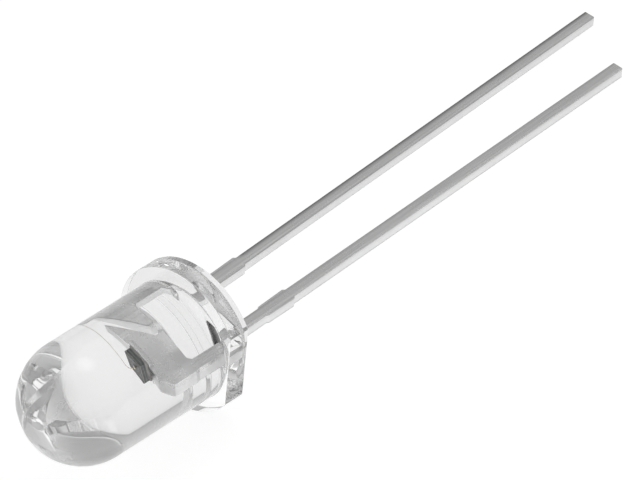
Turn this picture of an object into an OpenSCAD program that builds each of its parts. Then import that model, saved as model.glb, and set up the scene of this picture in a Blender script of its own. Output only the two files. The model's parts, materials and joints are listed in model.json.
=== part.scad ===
// A through-hole light-emitting diode: a chip and its bond wire on a stamped two-lead frame,
// cast into a clear epoxy body with a domed end. It lies on a flat surface the way it comes to
// rest, on the edge of its flange and on the tips of its leads, with the leads towards +X.
//
// Every piece is first drawn in the made frame: the lens axis is Z, the seating face is z = 0,
// the dome points up and the leads point down. The stamped sheet lies in the XZ plane, with the
// cathode on the +X side. at_rest() then lays the finished piece down.

/* [Epoxy body] */
// Diameter of the barrel and of its domed end
body_d = 5.0; // [4.8:0.05:5.2]
// Length from the seating face to the top of the dome
body_l = 8.7; // [8:0.1:10]
// Diameter of the flange
flange_d = 6.15; // [5.8:0.05:6.4]
// Thickness of the flange
flange_t = 0.95; // [0.8:0.05:1.5]
// How far the flat that marks the cathode stands outside the barrel
flat_proud = 0.1; // [0.05:0.01:0.15]
// Radius of the flange's two round edges
flange_edge_r = 0.15; // [0.05:0.01:0.2]
// Radius of the fillet where the barrel meets the flange
root_r = 0.12; // [0.05:0.01:0.2]
// Depth of the hollow that the resin leaves in the seating face as it cures
dish_depth = 0.45; // [0.05:0.01:0.6]
// Width of the level rim between that hollow and the flat
dish_rim = 0.15; // [0.12:0.01:0.3]

/* [Leads] */
// Distance between the centre lines of the leads where they leave the body
lead_pitch = 2.54; // [2.5:0.01:2.6]
// Width of a lead across the sheet
lead_w = 0.48; // [0.4:0.01:0.52]
// Thickness of the sheet that both leads are stamped from
sheet_t = 0.45; // [0.38:0.01:0.5]
// Width of a lead at the stub that the cut tie bar leaves
stub_w = 0.6; // [0.56:0.01:0.75]
// Distance from the seating face to the far end of the stubs
stub_end = 3.85; // [3.2:0.05:5]
// Length of the stub on the cathode lead
stub_l = 1.4; // [0.8:0.1:2]
// Length over which a stub tapers to the width of the lead
stub_taper = 0.15; // [0.05:0.05:0.3]
// Length of the anode lead below the seating face
anode_l = 24.8; // [12:0.1:28]
// Length of the cathode lead below the seating face
cathode_l = 23.2; // [11:0.1:27]

/* [Bends of the leads] */
// Distance from the seating face to the bends
bend_drop = 0.3; // [0.2:0.05:0.5]
// Angle by which both leads lean towards the anode side
lean = 0.9; // [0:0.1:1.5]
// Angle by which each lead turns away from the other one
splay = 0.4; // [0:0.1:1]
// Angle by which both leads rise out of the plane of the sheet
lift = 2.6; // [0:0.1:3]

/* [Lead frame inside the body] */
// Height of the seat for the chip, the top of the cathode's anvil
seat_z = 3.73; // [3.5:0.01:4]
// Height of the lower edges of the anvil and of the anode's arm
foot_z = 2.1; // [1.8:0.05:2.4]
// How far the anvil's lower corner reaches past the lens axis
toe_reach = 0.26; // [0.05:0.01:0.3]
// Height of the upright edge of that corner
toe_h = 0.4; // [0.2:0.05:0.6]
// How far the anvil's upper point reaches past the lens axis
tip_reach = 1.08; // [0.8:0.01:1.15]
// Distance from the lens axis to the anvil's outer side
anvil_out = 1.57; // [1.5:0.01:1.7]
// Width and height of the corner cut off the anvil's shoulder
shoulder = [0.65, 0.43];
// Width of the cathode's stem between its neck and the anvil
stem_w = 0.54; // [0.5:0.01:0.6]
// Gap cut between the anvil and the anode's post
frame_gap = 0.28; // [0.2:0.01:0.35]
// Height of the top of the post
post_z = 4.05; // [3.95:0.01:4.4]
// Distance from the lens axis to the outer side of the post
post_out = 1.85; // [1.75:0.01:1.9]
// Length, thickness and depth of the coined pad that carries the chip
pad = [0.9, 0.66, 0.3];

/* [Chip and wire] */
// Width of the square chip
chip_w = 0.58; // [0.3:0.02:0.6]
// Height of the chip
chip_h = 0.36; // [0.15:0.01:0.4]
// Thickness of the adhesive under the chip
glue_t = 0.03; // [0.02:0.005:0.04]
// How far the adhesive shows round the chip
glue_margin = 0.02; // [0.01:0.005:0.02]
// Radius of the bond wire
wire_r = 0.013; // [0.0125:0.0005:0.02]
// Height to which the wire rises straight from the chip
wire_rise = 0.11; // [0.1:0.01:0.25]
// Radius of the wire's loop
loop_r = 0.16; // [0.12:0.01:0.25]
// Radius of the ball that joins the wire to the chip
ball_r = 0.045; // [0.04:0.005:0.06]
// Length and width of the stitch that joins the wire to the post
stitch = [0.14, 0.08];

/* [Hidden] */
$fn = 64;
overlap = 0.05;
weld = 0.001;

body_r = body_d / 2;
dome_z = body_l - body_r;
flange_r = flange_d / 2;
flat_x = body_r + flat_proud;
flat_y = sqrt(flange_r^2 - flat_x^2);
dish_r = flat_x - dish_rim;
dish_ball_r = (dish_r^2 + dish_depth^2) / (2 * dish_depth);

lead_x = lead_pitch / 2;
stub_z = stub_end - bend_drop;
cathode_turn = lean - splay;
anode_turn = lean + splay;

chip_z = seat_z + glue_t;
chip_top = chip_z + chip_h;
loop_z = chip_top + wire_rise;
stitch_x = -post_out + 0.35;
stitch_t = 2.4 * wire_r;

// The anvil's slanted side and the slanted side of the arm that runs beside it
toe = [-toe_reach, foot_z + toe_h];
tip = [-tip_reach, seat_z];
gap_step = frame_gap * [toe.y - tip.y, tip.x - toe.x] / norm(tip - toe);

// The wire leaves its loop on the line that touches it and ends on the post
run_end = [stitch_x, post_z + stitch_t / 2];
to_end = run_end - [-loop_r, loop_z];
loop_turn = atan2(to_end.y, to_end.x) + 360 - acos(loop_r / norm(to_end));
run_start = [-loop_r + loop_r * cos(loop_turn), loop_z + loop_r * sin(loop_turn)];

// --- how it lies -------------------------------------------------------------------------

function unit(v) = v / norm(v);

// A point given in a lead's own frame, from the bend down, as a point of the made frame
function on_lead(side, turn, p) =
    let (y = p.y * cos(lift) - p.z * sin(lift), z = p.y * sin(lift) + p.z * cos(lift))
    [side * lead_x + p.x * cos(turn) + z * sin(turn), y, -bend_drop - p.x * sin(turn) + z * cos(turn)];

// The corners of the leads' free ends, the anode's four and then the cathode's
function end_corner(side, turn, l, sx, sy) =
    on_lead(side, turn, [sx * lead_w / 2, sy * sheet_t / 2, bend_drop - l]);
END_CORNERS = [for (e = [[-1, anode_turn, anode_l], [1, cathode_turn, cathode_l]], sx = [-1, 1], sy = [-1, 1])
    end_corner(e[0], e[1], e[2], sx, sy)];

// The surface's normal: it touches the flange's round edge and the lower corner of each lead
function flange_contact(n) =
    let (side = unit([n.x, n.y]), r = flange_r - flange_edge_r)
    [-r * side.x, -r * side.y, flange_edge_r] - flange_edge_r * n;
function resting_normal(n, steps) =
    steps == 0 ? n :
    let (sx = n.x < 0 ? 1 : -1,
         a = end_corner(-1, anode_turn, anode_l, sx, -1),
         c = end_corner(1, cathode_turn, cathode_l, sx, -1),
         m = unit(cross(c - a, flange_contact(n) - a)))
    resting_normal(m.y < 0 ? -m : m, steps - 1);

up = resting_normal([0, 1, 0], 8);
along = unit([0, 0, -1] + up * up.z);
across = cross(up, along);

// How far the whole diode reaches from the made frame's origin in direction d
function ring_reach(d, z) =
    let (side = norm([d.x, d.y]), r = flange_r - flange_edge_r)
    z * d.z + flange_edge_r
    + (r * d.x <= flat_x * side ? r * side : flat_x * d.x + flat_y * abs(d.y) - flange_edge_r);
function reach(d) = max(concat(
    [ring_reach(d, flange_edge_r), ring_reach(d, flange_t - flange_edge_r), dome_z * d.z + body_r],
    END_CORNERS * d));

// Turns the made frame onto the surface and centres the diode's box on the origin
module at_rest() {
    translate([(reach(-along) - reach(along)) / 2, (reach(-across) - reach(across)) / 2, reach(-up)])
        multmatrix([concat(along, 0), concat(across, 0), concat(up, 0), [0, 0, 0, 1]])
            children();
}

// --- epoxy body --------------------------------------------------------------------------

// Half section: barrel, dome, flange with round edges, and the fillet at the barrel's root
module lens_section() {
    square([body_r, dome_z]);
    translate([0, dome_z]) intersection() {
        circle(r = body_r);
        square(body_r);
    }
    square([flange_r - flange_edge_r, flange_t]);
    translate([0, flange_edge_r]) square([flange_r, flange_t - 2 * flange_edge_r]);
    for (z = [flange_edge_r, flange_t - flange_edge_r])
        translate([flange_r - flange_edge_r, z]) circle(r = flange_edge_r);
    translate([body_r, flange_t]) difference() {
        translate([-overlap, -overlap]) square(root_r + overlap);
        translate([root_r, root_r]) circle(r = root_r);
    }
}

module lens_blank() {
    difference() {
        rotate_extrude() lens_section();
        translate([flat_x, -flange_r, -1]) cube([flange_d, flange_d, flange_t + 2]);
        translate([0, 0, dish_depth - dish_ball_r]) sphere(r = dish_ball_r, $fn = 256);
    }
}

// --- stamped lead frame ------------------------------------------------------------------

// A piece of the sheet, from an outline drawn in X and Z
module stamped() {
    rotate([90, 0, 0]) linear_extrude(height = sheet_t, center = true) children();
}

// The outline of a lead below its bend: stations are [distance below the bend, width]
module lead_strip(stations) {
    right = [for (s = stations) [s[1] / 2, -s[0]]];
    left = [for (i = [len(stations) - 1:-1:0]) [-stations[i][1] / 2, -stations[i][0]]];
    polygon(concat(right, left));
}

module below_bend(side, turn) {
    translate([side * lead_x, 0, -bend_drop]) rotate([lift, turn, 0]) stamped() children();
}

// The anode's lead keeps the stub's width into the body, and its post carries the wire
module anode_metal() {
    below_bend(-1, anode_turn) lead_strip([
        [-overlap, stub_w], [stub_z, stub_w], [stub_z + stub_taper, lead_w], [anode_l - bend_drop, lead_w]]);
    neck_in = -lead_x + stub_w / 2;
    stem_out = -lead_x - stub_w / 2;
    stem_in = stem_out + lead_w;
    arm_low = toe + gap_step;
    arm_high = tip + gap_step;
    stamped() polygon([
        [stem_out, -bend_drop], [neck_in, -bend_drop], [neck_in, 0.35], [stem_in, 0.5],
        [stem_in, foot_z - 0.15], [stem_in + 0.15, foot_z], [toe.x - frame_gap, foot_z],
        [toe.x - frame_gap, arm_low.y + (toe.x - frame_gap - arm_low.x) * gap_step.x / -gap_step.y],
        arm_high, [arm_high.x, post_z], [-post_out, post_z], [-post_out, foot_z + 0.6], [stem_out, foot_z]]);
}

// The cathode's stem widens into the anvil, which is coined wider where it carries the chip
module cathode_metal() {
    below_bend(1, cathode_turn) lead_strip([
        [-overlap, lead_w], [stub_z - stub_l - stub_taper, lead_w], [stub_z - stub_l, stub_w],
        [stub_z, stub_w], [stub_z + stub_taper, lead_w], [cathode_l - bend_drop, lead_w]]);
    neck_in = lead_x - lead_w / 2;
    neck_out = lead_x + lead_w / 2;
    stem_in = neck_out - stem_w;
    stamped() polygon([
        [neck_in, -bend_drop], [neck_out, -bend_drop], [neck_out, foot_z - 0.15], [anvil_out, foot_z],
        [anvil_out, seat_z - shoulder.y], [anvil_out - shoulder.x, seat_z], tip, toe, [toe.x, foot_z],
        [stem_in - 0.17, foot_z], [stem_in, foot_z - 0.17], [stem_in, 0.5], [neck_in, 0.35]]);
    rotate([90, 0, 90]) linear_extrude(height = pad.x, center = true) polygon([
        [-sheet_t / 2, seat_z - pad.z], [sheet_t / 2, seat_z - pad.z],
        [pad.y / 2, seat_z - pad.z / 3], [pad.y / 2, seat_z],
        [-pad.y / 2, seat_z], [-pad.y / 2, seat_z - pad.z / 3]]);
}

// --- chip and bond wire ------------------------------------------------------------------

// Each of these may be drawn sunk into what it stands on, so that the room left for them in the
// epoxy runs through without a step
module glue_layer(sunk = 0) {
    side = chip_w + 2 * glue_margin;
    translate([-side / 2, -side / 2, seat_z - sunk]) cube([side, side, glue_t + sunk]);
}

module chip_block(sunk = 0) {
    translate([-chip_w / 2, -chip_w / 2, chip_z - sunk]) cube([chip_w, chip_w, chip_h + sunk]);
}

// A ball on the chip, a straight rise, one round loop and a straight run to the stitch
module wire_path(sunk = 0) {
    translate([0, 0, chip_top]) intersection() {
        translate([0, 0, ball_r * 0.7]) sphere(r = ball_r);
        translate([-ball_r, -ball_r, -sunk]) cube(2 * ball_r + sunk);
    }
    translate([0, 0, chip_top + ball_r * 0.7]) cylinder(r = wire_r, h = wire_rise - ball_r * 0.7);
    translate([-loop_r, 0, loop_z]) rotate([90, 0, 0])
        rotate_extrude(angle = loop_turn) translate([loop_r, 0]) circle(r = wire_r);
    run = run_end - run_start;
    translate([run_start.x, 0, run_start.y]) rotate([0, atan2(run.x, run.y), 0])
        translate([0, 0, -weld]) cylinder(r = wire_r, h = norm(run) + weld);
    translate([stitch_x - stitch.x / 2, -stitch.y / 2, post_z - sunk])
        cube([stitch.x, stitch.y, stitch_t + sunk]);
}

// --- sub-parts ---------------------------------------------------------------------------

module epoxy_body() {
    color("white", 0.3) at_rest() difference() {
        lens_blank();
        cathode_metal();
        anode_metal();
        glue_layer(overlap);
        chip_block(overlap);
        wire_path(overlap);
    }
}

module cathode_lead() {
    color("silver") at_rest() cathode_metal();
}

module anode_lead() {
    color("silver") at_rest() anode_metal();
}

module die_attach() {
    color("gray") at_rest() glue_layer();
}

module chip() {
    color("dimgray") at_rest() chip_block();
}

module bond_wire() {
    color("gold") at_rest() wire_path();
}

epoxy_body();
cathode_lead();
anode_lead();
die_attach();
chip();
bond_wire();
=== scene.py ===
# %% [markdown]
# # A clear through-hole light-emitting diode
# The diode lies on a pale table, on the rim of its flange and on the tips of its two leads.
# Its body is clear, so everything that is sealed inside it shows: the stamped lead frame, the
# chip on its anvil and the hair-thin bond wire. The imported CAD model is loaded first. It fixes
# where each piece sits, and nothing in this file moves it.

# %% Load the fixed frame
import json
import math

import bmesh
import bpy
from mathutils import Matrix, Vector

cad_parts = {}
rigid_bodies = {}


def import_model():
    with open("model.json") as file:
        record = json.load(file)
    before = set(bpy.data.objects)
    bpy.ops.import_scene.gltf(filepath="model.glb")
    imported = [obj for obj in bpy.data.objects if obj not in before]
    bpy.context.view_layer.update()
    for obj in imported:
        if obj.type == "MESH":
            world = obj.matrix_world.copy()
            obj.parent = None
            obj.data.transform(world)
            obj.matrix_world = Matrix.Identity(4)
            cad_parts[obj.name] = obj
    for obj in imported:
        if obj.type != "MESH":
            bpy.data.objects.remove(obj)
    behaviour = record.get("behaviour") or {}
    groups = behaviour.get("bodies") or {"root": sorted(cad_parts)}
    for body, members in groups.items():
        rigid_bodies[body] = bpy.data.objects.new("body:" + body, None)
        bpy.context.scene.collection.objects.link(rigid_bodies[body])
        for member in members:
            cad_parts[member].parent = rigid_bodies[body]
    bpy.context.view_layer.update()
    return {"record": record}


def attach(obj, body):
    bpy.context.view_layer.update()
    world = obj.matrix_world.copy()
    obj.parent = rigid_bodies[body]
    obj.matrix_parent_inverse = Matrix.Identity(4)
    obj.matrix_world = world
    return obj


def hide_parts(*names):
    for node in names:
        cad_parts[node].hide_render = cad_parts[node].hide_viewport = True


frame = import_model()
scene = bpy.context.scene

# %% [markdown]
# ## Two frames
# The diode lies tilted, but it is far easier to draw it upright: lens axis on Z, seating face
# at zero, dome up, leads down, in millimetres. The record's mounts say how the upright drawing
# lies on the table: the leads' mount gives the middle of the seating face, the barrel's gives
# the axis, and the mount on the rim gives the side that the sheet metal faces.

# %% From the upright drawing to the table
mounts = {mount["name"]: mount for mount in frame["record"]["mounts"]}
seat_middle = Vector(mounts["lead_pair"]["pos_m"])
axis_z = Vector(mounts["barrel"]["axis"]).normalized()
axis_y = (Vector(mounts["seating_face"]["pos_m"]) - seat_middle).normalized()
axis_x = axis_y.cross(axis_z).normalized()
turned = Matrix((axis_x, axis_y, axis_z)).transposed().to_4x4()
MM = 0.001
to_table = Matrix.Translation(seat_middle) @ turned @ Matrix.Scale(MM, 4)
print("lens axis points to", tuple(round(value, 3) for value in axis_z))

# %% [markdown]
# Every piece goes through the same last step. It also remembers where each of its points was
# in the upright drawing, as an attribute named upright. The materials read that attribute, so
# drawn lines and sawn faces follow the piece itself, whichever way it lies or is bent.


# %% Turn a finished drawing into a piece of the diode
def remember_upright(bm):
    """Stores each point's place in the upright drawing, once, before anything is bent."""
    if "upright" not in bm.verts.layers.float_vector:
        layer = bm.verts.layers.float_vector.new("upright")
        for vert in bm.verts:
            vert[layer] = vert.co


def make_piece(name, bm, stands_for):
    """Lays the drawing down, makes it an object at the origin and ties it to the CAD frame."""
    remember_upright(bm)
    bm.transform(to_table)
    mesh = bpy.data.meshes.new(name)
    bm.to_mesh(mesh)
    bm.free()
    piece = bpy.data.objects.new(name, mesh)
    scene.collection.objects.link(piece)
    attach(piece, "root")
    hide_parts(stands_for)
    print(name, "has", len(mesh.polygons), "faces")
    return piece


# %% [markdown]
# ## The epoxy body
# The resin is poured into a polished mould, so the body is one surface of revolution: dome,
# barrel, a small fillet, the flange with its rounded edges, and the seating face, where the
# resin sank a little as it cured. It could be put together from primitives with booleans, but
# a profile that is drawn once and spun gives long clean strips of faces. A clear piece needs
# that, because every wobble in its surface bends what is seen through it.

# %% Sizes of the body
BODY_R, DOME_Z = 2.5, 6.2
FLANGE_R, FLANGE_T, EDGE_R, ROOT_R = 3.055, 0.95, 0.03, 0.05
FLAT_X = 2.6
DISH_R, DISH_DEPTH = 2.45, 0.35
BALL_R = (DISH_R ** 2 + DISH_DEPTH ** 2) / (2 * DISH_DEPTH)
print("the hollow under the body is part of a ball", round(BALL_R, 1), "mm in radius")


# %% Two pens that draw a profile in the XZ plane
def draw_line(bm, vert, x, z, step):
    """Extrudes the last vertex to (x, z) in equal steps and returns the new last vertex."""
    start, end = vert.co.copy(), Vector((x, 0, z))
    count = max(1, round((end - start).length / step))
    for i in range(count):
        vert = bmesh.ops.extrude_vert_indiv(bm, verts=[vert])["verts"][0]
        vert.co = start.lerp(end, (i + 1) / count)
    return vert


def draw_arc(bm, vert, x, z, degrees, steps):
    """Spins the last vertex about (x, z), clockwise as seen from -Y, and returns the new one."""
    out = bmesh.ops.spin(bm, geom=[vert], cent=(x, 0, z), axis=(0, 1, 0),
                         angle=math.radians(degrees), steps=steps, use_duplicate=False)
    return [item for item in out["geom_last"] if isinstance(item, bmesh.types.BMVert)][0]


# %% Draw the profile from the top of the dome to the middle of the seating face
bm = bmesh.new()
pen = bm.verts.new((0, 0, DOME_Z + BODY_R))
pen = draw_arc(bm, pen, 0, DOME_Z, 90, 56)
pen = draw_line(bm, pen, BODY_R, FLANGE_T + ROOT_R, 0.2)
pen = draw_arc(bm, pen, BODY_R + ROOT_R, FLANGE_T + ROOT_R, -90, 8)
pen = draw_line(bm, pen, FLANGE_R - EDGE_R, FLANGE_T, 0.1)
pen = draw_arc(bm, pen, FLANGE_R - EDGE_R, FLANGE_T - EDGE_R, 90, 12)
pen = draw_line(bm, pen, FLANGE_R, EDGE_R, 0.1)
pen = draw_arc(bm, pen, FLANGE_R - EDGE_R, EDGE_R, 90, 12)
pen = draw_line(bm, pen, DISH_R, 0, 0.1)
dish_angle = math.degrees(math.asin(DISH_R / BALL_R))
pen = draw_arc(bm, pen, 0, DISH_DEPTH - BALL_R, -dish_angle, 70)
print("profile ends at", tuple(round(value, 4) for value in pen.co), "and has", len(bm.verts), "points")

# %% Spin the profile into a closed body
SPIN_STEPS = 224
bmesh.ops.spin(bm, geom=bm.verts[:] + bm.edges[:], cent=(0, 0, 0), axis=(0, 0, 1),
               angle=math.tau, steps=SPIN_STEPS, use_merge=True, use_duplicate=False)
bmesh.ops.remove_doubles(bm, verts=bm.verts, dist=1e-5)
print("spun body:", len(bm.faces), "faces")

# %% [markdown]
# Resin is sticky before it cures, so it creeps up the metal where each lead leaves the body.
# That leaves a small curved collar round each lead. It could be a piece of its own, but then
# there would be a seam inside the clear resin. Here the seating face itself is drawn down
# close to each lead. Inside the metal it goes on, where no eye can follow it.

# %% Sizes of the leads where they leave the body
LEAD_X, LEAD_W, SHEET_T, STUB_W = 1.27, 0.48, 0.45, 0.6
CATHODE_COLLAR_H, CATHODE_COLLAR_REACH = 0.7, 1.0
ANODE_COLLAR_H, ANODE_COLLAR_REACH = 0.2, 0.2
print("collars:", CATHODE_COLLAR_H, "mm high at the cathode,", ANODE_COLLAR_H, "mm at the anode")


def collar(point, middle_x, width, height, reach):
    """How far the resin round a lead hangs down at a point of the seating face, in mm."""
    past_x, past_y = abs(point.x - middle_x) - width / 2, abs(point.y) - SHEET_T / 2
    away = math.hypot(max(past_x, 0), max(past_y, 0)) + min(max(past_x, past_y), 0)
    return height * max(0.0, 1 - away / reach) ** 2


# %% Draw the collars down
lowest = 0.0
for vert in bm.verts:
    if vert.co.z < DISH_DEPTH + 1e-4 and vert.co.xy.length < DISH_R:
        vert.co.z -= max(collar(vert.co, LEAD_X, LEAD_W, CATHODE_COLLAR_H, CATHODE_COLLAR_REACH),
                         collar(vert.co, -LEAD_X, STUB_W, ANODE_COLLAR_H, ANODE_COLLAR_REACH))
        lowest = min(lowest, vert.co.z)
print("inside the metal the collars reach", round(lowest, 3), "mm below the seating face")

# %% [markdown]
# The flat on the flange marks the cathode. The mould has it as a plain step, so it is cut with
# a plane and filled with one face. That face stays flat in the shading, and the rest of the
# body stays smooth.

# %% Cut the flat and close it
cut = bmesh.ops.bisect_plane(bm, geom=bm.verts[:] + bm.edges[:] + bm.faces[:], dist=1e-6,
                             plane_co=(FLAT_X, 0, 0), plane_no=(1, 0, 0), clear_outer=True)
rim = [item for item in cut["geom_cut"] if isinstance(item, bmesh.types.BMEdge)]
flat = bmesh.ops.contextual_create(bm, geom=rim)["faces"]
bmesh.ops.recalc_face_normals(bm, faces=bm.faces)
for face in bm.faces:
    face.smooth = True
for edge in rim:
    edge.smooth = False
for face in flat:
    face.smooth = False
open_edges = [edge for edge in bm.edges if len(edge.link_faces) != 2]
print("body:", len(bm.faces), "faces,", len(open_edges), "open edges,",
      round(bm.calc_volume(), 2), "mm3")
body = make_piece("clear_epoxy_body", bm, "epoxy_body")

# %% [markdown]
# ## The stamped lead frame
# Both leads come out of one steel strip: a press punches them, and the tie bar that joined
# them is cut away after casting, which leaves the two wide stubs. The punch rounds the edges a
# little and the tin plate rounds them more, so no edge is sharp. Each lead is drawn as a flat
# outline with rounded corners, raised to the sheet's thickness, bevelled, and bent below the
# body. A boolean cut from a block would give the same shape, but not the even rounding.

# %% Sizes of the sheet metal
STUB_END, STUB_L, TAPER, BURR = 3.85, 1.4, 0.07, 0.03
ANODE_L, CATHODE_L = 24.8, 23.2
SEAT_Z, FOOT_Z, POST_Z, POST_OUT, ANVIL_OUT, STEM_W = 3.73, 2.1, 4.05, 1.85, 1.57, 0.54
SHOULDER_W, SHOULDER_H = 0.65, 0.43
NECK_LOW, NECK_HIGH, ANVIL_CUT, POST_CUT, POST_FOOT = 0.35, 0.5, 0.17, 0.15, 0.6
TOE, TIP, GAP = Vector((-0.26, 2.5)), Vector((-1.08, 3.73)), 0.28
gap_step = Vector((TOE.y - TIP.y, TIP.x - TOE.x)).normalized() * GAP
arm_low, arm_high = TOE + gap_step, TIP + gap_step
print("the post's slanted side runs from", tuple(arm_low), "to", tuple(arm_high))

# %% The cathode's outline, from its neck round the anvil and down to its tip
half, stub = LEAD_W / 2, STUB_W / 2
neck_in, neck_out = LEAD_X - half, LEAD_X + half
stem_in = neck_out - STEM_W
cathode_outline = [
    (neck_out, FOOT_Z - POST_CUT), (ANVIL_OUT, FOOT_Z), (ANVIL_OUT, SEAT_Z - SHOULDER_H),
    (ANVIL_OUT - SHOULDER_W, SEAT_Z), tuple(TIP), tuple(TOE), (TOE.x, FOOT_Z),
    (stem_in - ANVIL_CUT, FOOT_Z), (stem_in, FOOT_Z - ANVIL_CUT), (stem_in, NECK_HIGH),
    (neck_in, NECK_LOW),
    (neck_in, -STUB_END + STUB_L + TAPER), (LEAD_X - stub, -STUB_END + STUB_L),
    (LEAD_X - stub - BURR, -STUB_END), (neck_in, -STUB_END - TAPER), (neck_in, -CATHODE_L),
    (neck_out, -CATHODE_L), (neck_out, -STUB_END - TAPER), (LEAD_X + stub + BURR, -STUB_END),
    (LEAD_X + stub, -STUB_END + STUB_L), (neck_out, -STUB_END + STUB_L + TAPER)]
print("the cathode's outline has", len(cathode_outline), "corners")

# %% The anode's outline, with the post that carries the wire
wide_in, wide_out, thin_in = -LEAD_X + stub, -LEAD_X - stub, -LEAD_X - stub + LEAD_W
arm_in = TOE.x - GAP
arm_corner = arm_low.y - (arm_in - arm_low.x) * gap_step.x / gap_step.y
anode_outline = [
    (wide_in, NECK_LOW), (thin_in, NECK_HIGH), (thin_in, FOOT_Z - POST_CUT),
    (thin_in + POST_CUT, FOOT_Z), (arm_in, FOOT_Z),
    (arm_in, arm_corner), tuple(arm_high), (arm_high.x, POST_Z), (-POST_OUT, POST_Z),
    (-POST_OUT, FOOT_Z + POST_FOOT), (wide_out, FOOT_Z), (wide_out, -1), (wide_out - BURR, -STUB_END),
    (-LEAD_X - half, -STUB_END - TAPER), (-LEAD_X - half, -ANODE_L), (-LEAD_X + half, -ANODE_L),
    (-LEAD_X + half, -STUB_END - TAPER), (wide_in + BURR, -STUB_END), (wide_in, -1)]
print("the anode's outline has", len(anode_outline), "corners")


# %% Punch an outline out of the sheet and round its edges
CORNER_R, EDGE_ROUND = 0.04, 0.035
SHARP_ANGLE = 1.2


def punch(outline):
    """The sheet's thickness of an outline, with its corners and its edges rounded.

    Bevel holds every edge back to what the shortest one can take. So the corner radius stays
    under half of the shortest stretch of the outline, or the edges would stay sharp.
    """
    bm = bmesh.new()
    sheet = bm.faces.new([bm.verts.new((x, -SHEET_T / 2, z)) for x, z in outline])
    bmesh.ops.bevel(bm, geom=sheet.verts[:], offset=CORNER_R, segments=3, affect="VERTICES",
                    profile=0.5, material=-1, clamp_overlap=True)
    raised = bmesh.ops.extrude_face_region(bm, geom=bm.faces[:])["geom"]
    moved = [item for item in raised if isinstance(item, bmesh.types.BMVert)]
    bmesh.ops.translate(bm, verts=moved, vec=(0, SHEET_T, 0))
    bmesh.ops.recalc_face_normals(bm, faces=bm.faces)
    edges = [edge for edge in bm.edges if edge.calc_face_angle(0) > SHARP_ANGLE]
    bmesh.ops.bevel(bm, geom=edges, offset=EDGE_ROUND, segments=3, affect="EDGES", profile=0.5,
                    material=-1, clamp_overlap=True)
    remember_upright(bm)
    return bm


# %% Bend the lead below the body in three small steps
LEAN, SPLAY, LIFT = 0.9, 0.4, 2.6
BEND_DROPS = (0.25, 0.3, 0.35)


def bend_lead(bm, side, turn):
    """Cuts the lead just below the body and turns what is below each cut a little further."""
    for drop in BEND_DROPS:
        bmesh.ops.bisect_plane(bm, geom=bm.verts[:] + bm.edges[:] + bm.faces[:], dist=1e-6,
                               plane_co=(side * LEAD_X, 0, -drop), plane_no=(0, 0, 1))
    steps = len(BEND_DROPS)
    small = (Matrix.Rotation(math.radians(turn / steps), 3, "Y")
             @ Matrix.Rotation(math.radians(LIFT / steps), 3, "X"))
    for drop in reversed(BEND_DROPS):
        below = [vert for vert in bm.verts if vert.co.z < -drop - 1e-4]
        bmesh.ops.rotate(bm, verts=below, cent=(side * LEAD_X, 0, -drop), matrix=small)


# %% [markdown]
# Rounded edges on big flat faces need care in the shading. If every corner's normal is the
# plain mean of its faces, the flat faces look swollen. So each point takes the normal of the
# large faces it touches, and only the narrow strips between them turn the light.


# %% Let the large faces lead the shading
def lead_shading(piece):
    """Sets each point's normal to the mean of its faces, weighted by the square of their area."""
    mesh = piece.data
    normals = [Vector((0, 0, 0)) for _ in mesh.vertices]
    for face in mesh.polygons:
        face.use_smooth = True
        for index in face.vertices:
            normals[index] += face.normal * (face.area * 1e6) ** 2
    mesh.normals_split_custom_set_from_vertices([normal.normalized() for normal in normals])


# %% The anode's lead
bm = punch(anode_outline)
bend_lead(bm, -1, LEAN + SPLAY)
anode = make_piece("anode_lead_metal", bm, "anode_lead")
lead_shading(anode)

# %% [markdown]
# The chip needs more room than the sheet is thick. A second blow of the press, called coining,
# spreads the top of the anvil to both sides. The coined pad is drawn as a wedge across the
# sheet and left standing in the same mesh as the lead.

# %% The cathode's lead with its coined pad
PAD_L, PAD_W, PAD_H = 0.9, 0.66, 0.3
bm = punch(cathode_outline)
bend_lead(bm, 1, LEAN - SPLAY)
pad = bmesh.new()
section = [(-SHEET_T / 2, SEAT_Z - PAD_H), (SHEET_T / 2, SEAT_Z - PAD_H),
           (PAD_W / 2, SEAT_Z - PAD_H / 3), (PAD_W / 2, SEAT_Z),
           (-PAD_W / 2, SEAT_Z), (-PAD_W / 2, SEAT_Z - PAD_H / 3)]
end = pad.faces.new([pad.verts.new((-PAD_L / 2, y, z)) for y, z in section])
raised = bmesh.ops.extrude_face_region(pad, geom=[end])["geom"]
bmesh.ops.translate(pad, verts=[item for item in raised if isinstance(item, bmesh.types.BMVert)],
                    vec=(PAD_L, 0, 0))
bmesh.ops.recalc_face_normals(pad, faces=pad.faces)
bmesh.ops.bevel(pad, geom=pad.edges[:], offset=0.03, segments=3, affect="EDGES", profile=0.5,
                material=-1, clamp_overlap=True)
remember_upright(pad)
pad_mesh = bpy.data.meshes.new("coined_pad")
pad.to_mesh(pad_mesh)
pad.free()
bm.from_mesh(pad_mesh)
cathode = make_piece("cathode_lead_metal", bm, "cathode_lead")
lead_shading(cathode)

# %% [markdown]
# ## The chip and its adhesive
# The chip is sawn from a wafer, so it is a sharp little block with a thin step round its top.
# It sits in a dab of silver-filled adhesive that is pressed out on all sides and climbs a
# little way up the chip. Both start from a cube. The step is an inset whose rim is pushed
# down, and the adhesive is a low block whose sides are spread and made uneven.

# %% The chip
CHIP_W, CHIP_H, GLUE_T = 0.58, 0.36, 0.03
STEP_W, STEP_H = 0.03, 0.012
chip_low = SEAT_Z + GLUE_T
chip_top = chip_low + CHIP_H


def block(width, height, low):
    """A plain square block that stands on the height called low."""
    bm = bmesh.new()
    bmesh.ops.create_cube(bm, size=1)
    bmesh.ops.scale(bm, verts=bm.verts, vec=(width, width, height))
    bmesh.ops.translate(bm, verts=bm.verts, vec=(0, 0, low + height / 2))
    return bm


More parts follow.
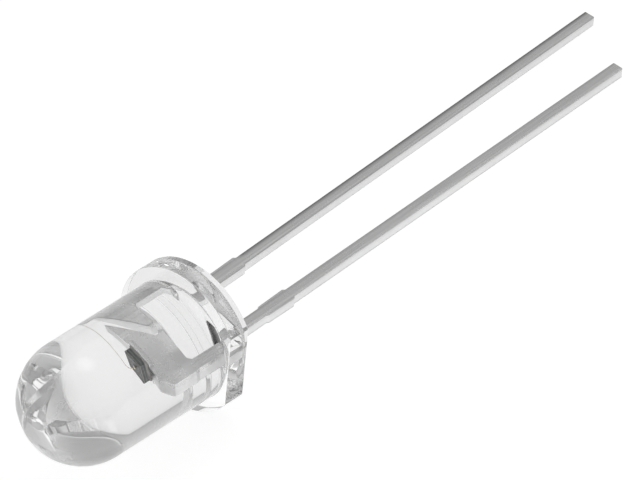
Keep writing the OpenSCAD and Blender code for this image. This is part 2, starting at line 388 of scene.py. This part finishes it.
bm = block(CHIP_W, CHIP_H, chip_low)
outer = [vert for vert in bm.verts if vert.co.z > chip_low + CHIP_H / 2]
top_face = [face for face in bm.faces if face.normal.z > 0.9]
bmesh.ops.inset_region(bm, faces=top_face, thickness=STEP_W, depth=0)
bmesh.ops.translate(bm, verts=outer, vec=(0, 0, -STEP_H))
bmesh.ops.bevel(bm, geom=bm.edges[:], offset=0.004, segments=2, affect="EDGES", profile=0.5,
                material=-1, clamp_overlap=True)
chip = make_piece("diode_chip", bm, "chip")
lead_shading(chip)

# %% The adhesive
GLUE_SIDE, GLUE_RISE = CHIP_W + 0.04, 0.1
SPREAD, TUCK = 0.045, 0.012
bm = block(GLUE_SIDE, GLUE_RISE, SEAT_Z)
bmesh.ops.subdivide_edges(bm, edges=bm.edges[:], cuts=11, use_grid_fill=True)
for vert in bm.verts:
    rise = (vert.co.z - SEAT_Z) / GLUE_RISE
    side = Vector((vert.co.x, vert.co.y, 0))
    around = math.atan2(side.y, side.x)
    uneven = 0.5 + 0.3 * math.sin(3 * around + 0.7) + 0.2 * math.sin(7 * around + 2.1)
    if side.length > CHIP_W / 2 - 0.02:
        vert.co += side.normalized() * (SPREAD * uneven * (1 - rise) ** 2 - TUCK * rise)
        vert.co.z -= rise * SPREAD * (1 - uneven)
for face in bm.faces:
    face.smooth = True
glue = make_piece("silver_adhesive_dab", bm, "die_attach")

# %% [markdown]
# ## The bond wire
# The bonder melts a ball on the end of a gold wire, presses it onto the chip, bends the wire
# over and mashes it onto the post, where it tears off in a flat stitch. A curve object with a
# round bevel would be quick, but its ends and its corners are hard to control. Here a ring is
# extruded from point to point, and each new ring is set square to the line.


# %% Draw a round tube along a line of points
def tube(points, radius, sides=14):
    """Extrudes a ring along the points and closes both ends."""
    bm = bmesh.new()
    ring = bmesh.ops.create_circle(bm, segments=sides, radius=radius, cap_ends=True)["verts"]
    heading = (points[1] - points[0]).normalized()
    turn = Vector((0, 0, 1)).rotation_difference(heading).to_matrix().to_4x4()
    bmesh.ops.transform(bm, verts=ring, matrix=Matrix.Translation(points[0]) @ turn)
    for i in range(1, len(points)):
        edges = list({edge for vert in ring for edge in vert.link_edges
                      if edge.other_vert(vert) in ring})
        new = bmesh.ops.extrude_edge_only(bm, edges=edges)["geom"]
        ring = [item for item in new if isinstance(item, bmesh.types.BMVert)]
        arrive = (points[i] - points[i - 1]).normalized()
        leave = (points[i + 1] - points[i]).normalized() if i + 1 < len(points) else arrive
        bisector = (arrive + leave).normalized()
        bmesh.ops.translate(bm, verts=ring, vec=points[i] - points[i - 1])
        bmesh.ops.rotate(bm, verts=ring, cent=points[i],
                         matrix=heading.rotation_difference(bisector).to_matrix())
        heading = bisector
    bmesh.ops.contextual_create(bm, geom=ring)
    bmesh.ops.recalc_face_normals(bm, faces=bm.faces)
    return bm


# %% The wire's path: straight up, one round bend and a straight run down to the post
WIRE_R, BOND_BALL_R, RISE, BEND_R, BEND_STEPS, STITCH_IN = 0.0115, 0.045, 0.11, 0.16, 16, 0.35
bend_z = chip_top + RISE
run_end = Vector((-POST_OUT + STITCH_IN, POST_Z + 1.2 * WIRE_R))
to_end = run_end - Vector((-BEND_R, bend_z))
bend_turn = (math.degrees(math.atan2(to_end.y, to_end.x)) + 360
             - math.degrees(math.acos(BEND_R / to_end.length)))
points = [Vector((0, 0, chip_top)), Vector((0, 0, bend_z))]
for i in range(1, BEND_STEPS + 1):
    angle = math.radians(bend_turn * i / BEND_STEPS)
    points.append(Vector((-BEND_R + BEND_R * math.cos(angle), 0, bend_z + BEND_R * math.sin(angle))))
points.append(Vector((run_end.x, 0, run_end.y)))
print("the bend turns", round(bend_turn, 1), "degrees and tops out at", round(bend_z + BEND_R, 2), "mm")

# %% The ball on the chip and the stitch on the post
BALL_SQUASH, STITCH_HALVES = 0.72, (0.07, 0.035, 0.014)
bm = tube(points, WIRE_R)
ball = bmesh.ops.create_uvsphere(bm, u_segments=24, v_segments=14, radius=BOND_BALL_R)["verts"]
bmesh.ops.scale(bm, verts=ball, vec=(1, 1, BALL_SQUASH))
bmesh.ops.translate(bm, verts=ball, vec=(0, 0, chip_top + BOND_BALL_R * 0.6))
stitch = bmesh.ops.create_uvsphere(bm, u_segments=20, v_segments=10, radius=1)["verts"]
bmesh.ops.scale(bm, verts=stitch, vec=STITCH_HALVES)
bmesh.ops.translate(bm, verts=stitch, vec=(run_end.x - 0.02, 0, POST_Z + 0.008))
for face in bm.faces:
    face.smooth = True
wire = make_piece("gold_bond_wire", bm, "bond_wire")

# %% [markdown]
# ## Shared effects
# Three things show up on more than one finish, so each is a node group: soft smudges that
# change the gloss, fine lines that a die or a rolling mill leaves, and small specks. A group
# only puts out a mask. The shader that uses it stays in the material.


# %% Helpers for nodes
def add(tree, kind, **settings):
    """Adds a shader node and sets its properties."""
    node = tree.nodes.new("ShaderNode" + kind)
    for name, value in settings.items():
        setattr(node, name, value)
    return node


def feed(tree, socket, value):
    """Sets a socket to a number or a colour, or links another socket to it."""
    if isinstance(value, (int, float, tuple)):
        socket.default_value = value
    else:
        tree.links.new(value, socket)


def calc(tree, operation, first, second=0.0):
    """One step of arithmetic; each value is a number or a socket."""
    node = add(tree, "Math", operation=operation)
    feed(tree, node.inputs[0], first)
    feed(tree, node.inputs[1], second)
    return node.outputs[0]


def remap(tree, value, low, high, to_low, to_high):
    """Maps a value from one range to another, held inside it."""
    node = add(tree, "MapRange", clamp=True)
    feed(tree, node.inputs["Value"], value)
    feed(tree, node.inputs["From Min"], low)
    feed(tree, node.inputs["From Max"], high)
    feed(tree, node.inputs["To Min"], to_low)
    feed(tree, node.inputs["To Max"], to_high)
    return node.outputs["Result"]


def grey(level):
    """A neutral colour of one level."""
    return (level, level, level, 1)


def mix_colors(tree, mask, first, second):
    """Mixes two colours by a mask; each colour is a tuple or a socket."""
    node = add(tree, "Mix", data_type="RGBA")
    feed(tree, node.inputs[0], mask)
    colors = [socket for socket in node.inputs if socket.type == "RGBA"]
    feed(tree, colors[0], first)
    feed(tree, colors[1], second)
    return [socket for socket in node.outputs if socket.type == "RGBA"][0]


# %% Start a node group with a vector, its numbers and a mask to put out
def start_group(name, numbers):
    """Makes the group and its sockets and returns it with its input and output nodes."""
    group = bpy.data.node_groups.new(name, "ShaderNodeTree")
    group.interface.new_socket(name="Vector", in_out="INPUT", socket_type="NodeSocketVector")
    for socket, default in numbers.items():
        made = group.interface.new_socket(name=socket, in_out="INPUT", socket_type="NodeSocketFloat")
        made.default_value = default
    group.interface.new_socket(name="Mask", in_out="OUTPUT", socket_type="NodeSocketFloat")
    return group, group.nodes.new("NodeGroupInput"), group.nodes.new("NodeGroupOutput")


# %% Smudges: soft clouds that cover a share of the surface
smudges, given, result = start_group("smudges", {"Size": 1.0, "Cover": 0.4})
cloud = add(smudges, "TexNoise")
feed(smudges, cloud.inputs["Detail"], 4.0)
feed(smudges, cloud.inputs["Roughness"], 0.6)
feed(smudges, cloud.inputs["Vector"], given.outputs["Vector"])
feed(smudges, cloud.inputs["Scale"], calc(smudges, "DIVIDE", 1.0, given.outputs["Size"]))
threshold = calc(smudges, "SUBTRACT", 0.8, calc(smudges, "MULTIPLY", given.outputs["Cover"], 0.6))
above = calc(smudges, "SUBTRACT", cloud.outputs[0], threshold)
feed(smudges, result.inputs["Mask"], remap(smudges, above, -0.12, 0.12, 0.0, 1.0))
print("smudges take", len(smudges.nodes), "nodes")

# %% Drawn lines: noise pulled out along the upright axis
drawn_lines, given, result = start_group("drawn_lines", {"Spacing": 0.03, "Length": 3.0})
parts = add(drawn_lines, "SeparateXYZ")
feed(drawn_lines, parts.inputs[0], given.outputs["Vector"])
pulled = add(drawn_lines, "CombineXYZ")
for axis, size in (("X", "Spacing"), ("Y", "Spacing"), ("Z", "Length")):
    feed(drawn_lines, pulled.inputs[axis],
         calc(drawn_lines, "DIVIDE", parts.outputs[axis], given.outputs[size]))
streaks = add(drawn_lines, "TexNoise")
feed(drawn_lines, streaks.inputs["Scale"], 1.0)
feed(drawn_lines, streaks.inputs["Detail"], 3.0)
feed(drawn_lines, streaks.inputs["Vector"], pulled.outputs[0])
feed(drawn_lines, result.inputs["Mask"], remap(drawn_lines, streaks.outputs[0], 0.3, 0.7, 0.0, 1.0))
print("drawn lines take", len(drawn_lines.nodes), "nodes")

# %% Specks: scattered round dots
specks, given, result = start_group("specks", {"Spacing": 0.2, "Share": 0.15})
cells = add(specks, "TexVoronoi", feature="F1")
feed(specks, cells.inputs["Vector"], given.outputs["Vector"])
feed(specks, cells.inputs["Scale"], calc(specks, "DIVIDE", 1.0, given.outputs["Spacing"]))
near = calc(specks, "SUBTRACT", given.outputs["Share"], cells.outputs["Distance"])
feed(specks, result.inputs["Mask"], remap(specks, near, 0.0, 0.08, 0.0, 1.0))
print("groups:", [group.name for group in bpy.data.node_groups])


# %% Start a material: its Principled shader and the upright place of each point
def start_material(name, **values):
    """A new material; keyword values go straight onto the shader's own sockets."""
    material = bpy.data.materials.new(name)
    material.use_nodes = True
    tree = material.node_tree
    shader = tree.nodes["Principled BSDF"]
    for socket, value in values.items():
        shader.inputs[socket.replace("_", " ")].default_value = value
    place = add(tree, "Attribute", attribute_type="GEOMETRY", attribute_name="upright")
    return material, tree, shader, place.outputs["Vector"]


def use_group(tree, group, vector, **values):
    """Places a shared effect with its own values and returns its mask."""
    node = add(tree, "Group", node_tree=group)
    feed(tree, node.inputs["Vector"], vector)
    for socket, value in values.items():
        feed(tree, node.inputs[socket], value)
    return node.outputs["Mask"]


def use_height(tree, shader, height, distance):
    """Feeds a height through a Bump node to the shader's normal; distance is in metres."""
    bump = add(tree, "Bump")
    feed(tree, bump.inputs["Strength"], 1.0)
    feed(tree, bump.inputs["Distance"], distance)
    feed(tree, bump.inputs["Height"], height)
    feed(tree, shader.inputs["Normal"], bump.outputs["Normal"])


def put_on(piece, material):
    """Gives a piece its finished material and says how many nodes that took."""
    piece.data.materials.append(material)
    print(piece.name, "wears", material.name, "of", len(material.node_tree.nodes), "nodes")


# %% [markdown]
# ## Clear epoxy
# The resin is water-clear and takes the mould's polish. A perfect surface would look like a
# computed ball, so three faint traces are added: a slow waviness that the resin's shrinkage
# leaves, a few handling smudges that dull the gloss, and fine dust.

# %% Clear epoxy
REFRACTION, HAZE_DULL, DUST_DULL, RESIN_RELIEF = 1.57, 0.03, 0.3, 0.000002
clear, tree, shader, place = start_material("clear_epoxy", Base_Color=grey(1), IOR=REFRACTION,
                                            Transmission_Weight=1.0)
haze = use_group(tree, smudges, place, Size=1.4, Cover=0.35)
dust = use_group(tree, specks, place, Spacing=0.35, Share=0.06)
dull = calc(tree, "MAXIMUM", calc(tree, "MULTIPLY", haze, HAZE_DULL),
            calc(tree, "MULTIPLY", dust, DUST_DULL))
feed(tree, shader.inputs["Roughness"], dull)
waves = add(tree, "TexNoise")
feed(tree, waves.inputs["Scale"], 0.9)
feed(tree, waves.inputs["Detail"], 1.0)
feed(tree, waves.inputs["Vector"], place)
use_height(tree, shader, waves.outputs[0], RESIN_RELIEF)
put_on(body, clear)

# %% [markdown]
# ## Tinned steel
# The rolled faces carry fine lines along the lead. The punched sides look different: the punch
# burnishes the first third and tears the rest, so they are brighter near one face and grainy
# below it. The plating has dulled a little in patches and has a few pits. A painted highlight
# lightens the anvil and the frame round it, most on the cathode's side, and a painted dark
# reflection lines the anode's outer edge below its stub.

# %% The tin plate's masks
tin, tree, shader, place = start_material("tinned_steel", Metallic=1.0)
lines = use_group(tree, drawn_lines, place, Spacing=0.03, Length=2.5)
patches = use_group(tree, smudges, place, Size=0.9, Cover=0.45)
pits = use_group(tree, specks, place, Spacing=0.13, Share=0.06)
parts = add(tree, "SeparateXYZ")
feed(tree, parts.inputs[0], place)
off_middle = calc(tree, "ABSOLUTE", parts.outputs["Y"])
side = remap(tree, off_middle, 0.17, 0.21, 1.0, 0.0)
torn = calc(tree, "MULTIPLY", side, remap(tree, parts.outputs["Y"], 0.02, 0.1, 1.0, 0.0))
# Painted highlight: the upper frame inside the body, most of all on the cathode's side, is made
# lighter.
painted_highlight = calc(tree, "MULTIPLY", remap(tree, parts.outputs["Z"], 1.2, 2.2, 0.0, 0.75),
               remap(tree, parts.outputs["X"], -0.9, -0.3, 0.15, 1.0))
# Painted dark reflection: a dark line along the anode's outer edge below its stub.
outer_edge = remap(tree, parts.outputs["X"], -LEAD_X + 0.05, -LEAD_X - 0.2, 0.0, 1.0)
below_stub = remap(tree, parts.outputs["Z"], -STUB_END - 0.4, -STUB_END - TAPER, 1.0, 0.0)
painted_edge_reflection = calc(tree, "MULTIPLY", calc(tree, "POWER", outer_edge, 2.0), below_stub)
print("the tin plate's masks take", len(tree.nodes), "nodes")

# %% The tin plate's colour and gloss
LINE_DARK, LINE_LIGHT, BURNISHED, TORN = grey(0.6), grey(0.78), grey(0.74), grey(0.84)
DULLED, PIT = (0.62, 0.62, 0.61, 1), (0.34, 0.33, 0.32, 1)
# The next line holds a painted highlight colour and a painted dark reflection colour.
PAINTED_HIGHLIGHT, PAINTED_EDGE_REFLECTION = grey(0.88), grey(0.24)
plate = mix_colors(tree, lines, LINE_DARK, LINE_LIGHT)
plate = mix_colors(tree, calc(tree, "MULTIPLY", patches, 0.5), plate, DULLED)
plate = mix_colors(tree, calc(tree, "MULTIPLY", pits, 0.6), plate, PIT)
# Painted highlight mixed in: the anvil and the upper frame turn lighter.
plate = mix_colors(tree, painted_highlight, plate, PAINTED_HIGHLIGHT)
# Painted dark reflection mixed in along the anode's outer edge.
plate = mix_colors(tree, painted_edge_reflection, plate, PAINTED_EDGE_REFLECTION)
plate = mix_colors(tree, side, plate, BURNISHED)
plate = mix_colors(tree, torn, plate, TORN)
feed(tree, shader.inputs["Base Color"], plate)
rough = remap(tree, patches, 0.0, 1.0, 0.24, 0.34)
feed(tree, shader.inputs["Roughness"], calc(tree, "ADD", rough, calc(tree, "MULTIPLY", torn, 0.12)))
print("with colour and gloss the tin plate takes", len(tree.nodes), "nodes")

# %% The relief of the plate: lines, torn grain, pits and the rim that the punch pulled down
PLATE_RELIEF = 0.000004
grain = add(tree, "TexNoise")
feed(tree, grain.inputs["Scale"], 22.0)
feed(tree, grain.inputs["Detail"], 5.0)
feed(tree, grain.inputs["Vector"], place)
off_axis = calc(tree, "ABSOLUTE", parts.outputs["X"])
off_lead = calc(tree, "ABSOLUTE", calc(tree, "SUBTRACT", off_axis, LEAD_X))
rim_dip = calc(tree, "POWER", remap(tree, off_lead, 0.1, 0.22, 0.0, 1.0), 2.0)
rim_dip = calc(tree, "MULTIPLY", rim_dip, remap(tree, parts.outputs["Z"], -0.2, 0.1, 1.0, 0.0))
rim_dip = calc(tree, "MULTIPLY", rim_dip, calc(tree, "SUBTRACT", 1.0, side))
relief = calc(tree, "ADD", calc(tree, "MULTIPLY", lines, 0.35),
              calc(tree, "MULTIPLY", calc(tree, "MULTIPLY", torn, grain.outputs[0]), 0.9))
relief = calc(tree, "SUBTRACT", relief, calc(tree, "MULTIPLY", pits, 0.8))
relief = calc(tree, "SUBTRACT", relief, calc(tree, "MULTIPLY", rim_dip, 6.0))
use_height(tree, shader, relief, PLATE_RELIEF)
put_on(anode, tin)
put_on(cathode, tin)

# %% [markdown]
# ## Chip, adhesive and wire
# The saw leaves fine upright marks and level ridges on the chip's sides, a thin bright line
# shows where the light-emitting layers lie, and the top carries a round metal pad under the
# bond. The adhesive is full of silver flakes. The wire has the faint lines of the die that it
# was drawn through.

# %% The chip's masks
silicon, tree, shader, place = start_material("semiconductor", Specular_IOR_Level=0.8)
parts = add(tree, "SeparateXYZ")
feed(tree, parts.inputs[0], place)
height = parts.outputs["Z"]
on_top = remap(tree, height, chip_top - 0.004, chip_top - 0.002, 0.0, 1.0)
across = calc(tree, "ADD", calc(tree, "POWER", calc(tree, "ABSOLUTE", parts.outputs["X"]), 2.0),
              calc(tree, "POWER", calc(tree, "ABSOLUTE", parts.outputs["Y"]), 2.0))
bond_pad = calc(tree, "MULTIPLY", on_top, remap(tree, across, 0.0056, 0.0064, 1.0, 0.0))
layer_line = calc(tree, "MULTIPLY", remap(tree, height, chip_top - 0.05, chip_top - 0.045, 0.0, 1.0),
                  remap(tree, height, chip_top - 0.03, chip_top - 0.025, 1.0, 0.0))
squeezed = add(tree, "Mapping")
squeezed.inputs["Scale"].default_value = (1, 1, 0.15)
feed(tree, squeezed.inputs["Vector"], place)
saw = add(tree, "TexNoise")
feed(tree, saw.inputs["Scale"], 40.0)
feed(tree, saw.inputs["Detail"], 4.0)
feed(tree, saw.inputs["Vector"], squeezed.outputs[0])
stains = use_group(tree, smudges, place, Size=0.18, Cover=0.5)
print("the chip's masks take", len(tree.nodes), "nodes")

# %% The chip's colour, gloss and relief
SAWN_DARK, SAWN_LIGHT, STAINED = (0.01, 0.012, 0.012, 1), (0.07, 0.078, 0.075, 1), (0.22, 0.24, 0.23, 1)
RIDGE, LAYERS, RIDGE_STEP, SAW_RELIEF = (0.3, 0.32, 0.31, 1), (0.4, 0.41, 0.38, 1), 0.06, 0.000003
TOP_DARK, TOP_LIGHT, PAD_GOLD = (0.18, 0.195, 0.19, 1), (0.45, 0.47, 0.46, 1), (0.62, 0.5, 0.28, 1)
wafer = mix_colors(tree, saw.outputs[0], SAWN_DARK, SAWN_LIGHT)
wafer = mix_colors(tree, calc(tree, "MULTIPLY", stains, 0.6), wafer, STAINED)
ridge = calc(tree, "PINGPONG", calc(tree, "SUBTRACT", height, chip_low), RIDGE_STEP)
wafer = mix_colors(tree, remap(tree, ridge, 0.048, 0.053, 0.0, 0.7), wafer, RIDGE)
wafer = mix_colors(tree, layer_line, wafer, LAYERS)
face_color = mix_colors(tree, stains, TOP_DARK, TOP_LIGHT)
wafer = mix_colors(tree, on_top, wafer, face_color)
wafer = mix_colors(tree, bond_pad, wafer, PAD_GOLD)
feed(tree, shader.inputs["Base Color"], wafer)
feed(tree, shader.inputs["Metallic"], bond_pad)
feed(tree, shader.inputs["Roughness"], remap(tree, stains, 0.0, 1.0, 0.16, 0.28))
marks = calc(tree, "MULTIPLY", saw.outputs[0], calc(tree, "SUBTRACT", 1.0, on_top))
use_height(tree, shader, marks, SAW_RELIEF)
put_on(chip, silicon)

# %% The adhesive's finish
RESIN_GREY, FLAKE, FLAKE_RELIEF = (0.38, 0.37, 0.35, 1), (0.7, 0.69, 0.66, 1), 0.000006
silver, tree, shader, place = start_material("silver_adhesive")
flakes = add(tree, "TexVoronoi", feature="F1")
feed(tree, flakes.inputs["Scale"], 55.0)
feed(tree, flakes.inputs["Vector"], place)
lumps = use_group(tree, smudges, place, Size=0.12, Cover=0.5)
shine = remap(tree, flakes.outputs["Distance"], 0.2, 0.7, 1.0, 0.0)
feed(tree, shader.inputs["Base Color"], mix_colors(tree, shine, RESIN_GREY, FLAKE))
feed(tree, shader.inputs["Metallic"], calc(tree, "MULTIPLY", shine, 0.85))
feed(tree, shader.inputs["Roughness"], remap(tree, lumps, 0.0, 1.0, 0.35, 0.6))
use_height(tree, shader, calc(tree, "ADD", flakes.outputs["Distance"], lumps), FLAKE_RELIEF)
put_on(glue, silver)

# %% The wire's finish
GOLD_DARK, GOLD_LIGHT, WIRE_RELIEF = (0.84, 0.76, 0.62, 1), (0.95, 0.88, 0.74, 1), 0.0000008
gold, tree, shader, place = start_material("gold_wire", Metallic=1.0)
lines = use_group(tree, drawn_lines, place, Spacing=0.006, Length=0.3)
worn = use_group(tree, smudges, place, Size=0.15, Cover=0.4)
feed(tree, shader.inputs["Base Color"], mix_colors(tree, lines, GOLD_DARK, GOLD_LIGHT))
feed(tree, shader.inputs["Roughness"], remap(tree, worn, 0.0, 1.0, 0.2, 0.35))
use_height(tree, shader, lines, WIRE_RELIEF)
put_on(wire, gold)

# %% [markdown]
# ## Table, light and camera
# The table is white to the eye. The metal and the resin see more than the eye does: a table
# that is bright round the diode and falls off with distance, most of all behind it, where less
# light gets. Light Path tells the two apart. What the table gives back as a matte surface is
# small, and that part keeps the object's shadow.

# %% The table
bm = bmesh.new()
bmesh.ops.create_grid(bm, x_segments=1, y_segments=1, size=2.0)
mesh = bpy.data.meshes.new("table")
bm.to_mesh(mesh)
bm.free()
table = bpy.data.objects.new("table", mesh)
scene.collection.objects.link(table)
paper = bpy.data.materials.new("white_table")
paper.use_nodes = True
tree = paper.node_tree
tree.nodes.clear()
surface = add(tree, "OutputMaterial")
matte = add(tree, "BsdfDiffuse")
matte.inputs["Color"].default_value = grey(0.35)
glow = add(tree, "Emission")
both = add(tree, "AddShader")
feed(tree, both.inputs[0], matte.outputs[0])
feed(tree, both.inputs[1], glow.outputs[0])
feed(tree, surface.inputs["Surface"], both.outputs[0])
put_on(table, paper)

# %% How bright the table looks, to the eye and in the reflections
TO_THE_EYE, NEAR_BY, FAR_OFF, FAR = 0.85, 0.93, 0.45, 0.15
SHADE, SHADE_FALL, SMALLEST = 0.42, 1.7, 0.003
from_body = add(tree, "VectorMath", operation="SUBTRACT")
feed(tree, from_body.inputs[0], add(tree, "TexCoord").outputs["Object"])
feed(tree, from_body.inputs[1], tuple(seat_middle))
spot = add(tree, "SeparateXYZ")
feed(tree, spot.inputs[0], from_body.outputs[0])
away = calc(tree, "SQRT", calc(tree, "ADD", calc(tree, "POWER", spot.outputs["X"], 2.0),
                               calc(tree, "POWER", spot.outputs["Y"], 2.0)))
behind = calc(tree, "DIVIDE", spot.outputs["Y"], calc(tree, "ADD", away, SMALLEST))
shade = calc(tree, "POWER", remap(tree, behind, -1.0, 1.0, 0.0, 1.0), SHADE_FALL)
level = calc(tree, "MULTIPLY", remap(tree, away, 0.0, FAR, NEAR_BY, FAR_OFF),
             calc(tree, "SUBTRACT", 1.0, calc(tree, "MULTIPLY", shade, SHADE)))
ray = add(tree, "LightPath")
reflected = calc(tree, "MAXIMUM", ray.outputs["Is Glossy Ray"], ray.outputs["Is Transmission Ray"])
to_the_eye = calc(tree, "MULTIPLY", ray.outputs["Is Camera Ray"], TO_THE_EYE)
in_reflections = calc(tree, "MULTIPLY", reflected, level)
feed(tree, glow.inputs["Strength"], calc(tree, "ADD", to_the_eye, in_reflections))
print("in reflections the table falls from", NEAR_BY, "to", FAR_OFF, "over", FAR, "m")

# %% [markdown]
# Inside clear resin a ray may be thrown back and forth many times before it gets out. The usual
# limits would cut such a ray short and leave black patches in the flange, so they are raised.

# %% How often a ray may be thrown back
LONGEST_PATH = 48
for limit in ("max_bounces", "transmission_bounces", "glossy_bounces"):
    setattr(scene.cycles, limit, LONGEST_PATH)
print("a ray may be thrown back", LONGEST_PATH, "times")

# %% [markdown]
# The room is an even pale sky that darkens only near the horizon. A dark round in it stands for
# the camera's side of the room, and it gives the resin its few deep accents. A small bright
# round high up gives the highlights. The eye itself sees the room as white.

# %% The light of the room
SKY_LOW, SKY_HIGH, SKY_RISE = 0.22, 0.56, 0.22
DARK_ROUND, DARK_EDGE = (-0.694, -0.036, 0.719), 0.86
BRIGHT_ROUND, BRIGHT_EDGE, BRIGHT_GAIN = (0.367, 0.106, 0.924), 0.955, 3.5
world = bpy.data.worlds.new("studio")
scene.world = world
world.use_nodes = True
tree = world.node_tree
sky = tree.nodes["Background"]
sky.inputs["Color"].default_value = grey(1)
direction = add(tree, "TexCoord").outputs["Generated"]
upward = add(tree, "SeparateXYZ")
feed(tree, upward.inputs[0], direction)


def toward(target):
    """The cosine of the angle between the direction looked in and a target direction."""
    dot = add(tree, "VectorMath", operation="DOT_PRODUCT")
    feed(tree, dot.inputs[0], direction)
    feed(tree, dot.inputs[1], target)
    return dot.outputs["Value"]


rise = calc(tree, "POWER", calc(tree, "MAXIMUM", upward.outputs["Z"], 0.0), SKY_RISE)
light = remap(tree, rise, 0.0, 1.0, SKY_LOW, SKY_HIGH)
darkened = remap(tree, toward(DARK_ROUND), DARK_EDGE, 1.0, 1.0, 0.0)
light = calc(tree, "MULTIPLY", light, darkened)
brightened = remap(tree, toward(BRIGHT_ROUND), BRIGHT_EDGE, 1.0, 1.0, BRIGHT_GAIN)
light = calc(tree, "MULTIPLY", light, brightened)
seen = add(tree, "LightPath").outputs["Is Camera Ray"]
feed(tree, sky.inputs["Strength"], calc(tree, "MAXIMUM", light, seen))
print("the sky goes from", SKY_LOW, "at the horizon to", SKY_HIGH, "straight up")

# %% The camera
LOOK_AT, DISTANCE = Vector((-0.001485, -0.000647, 0.003)), 0.3030
AZIMUTH, ELEVATION, ROLL = math.radians(-43.36), math.radians(43.37), math.radians(-6.19)
back = Vector((math.sin(AZIMUTH) * math.cos(ELEVATION), -math.cos(AZIMUTH) * math.cos(ELEVATION),
               math.sin(ELEVATION)))
camera = bpy.data.objects.new("camera", bpy.data.cameras.new("camera"))
scene.collection.objects.link(camera)
scene.camera = camera
camera.data.lens, camera.data.sensor_width = 444.3, 36
camera.data.clip_start, camera.data.clip_end = 0.01, 10
camera.location = LOOK_AT + back * DISTANCE
camera.rotation_mode = "QUATERNION"
camera.rotation_quaternion = ((-back).to_track_quat("-Z", "Y")
                              @ Matrix.Rotation(ROLL, 3, "Z").to_quaternion())
scene.view_settings.view_transform = "Standard"
print("the camera stands at", tuple(round(value, 3) for value in camera.location))
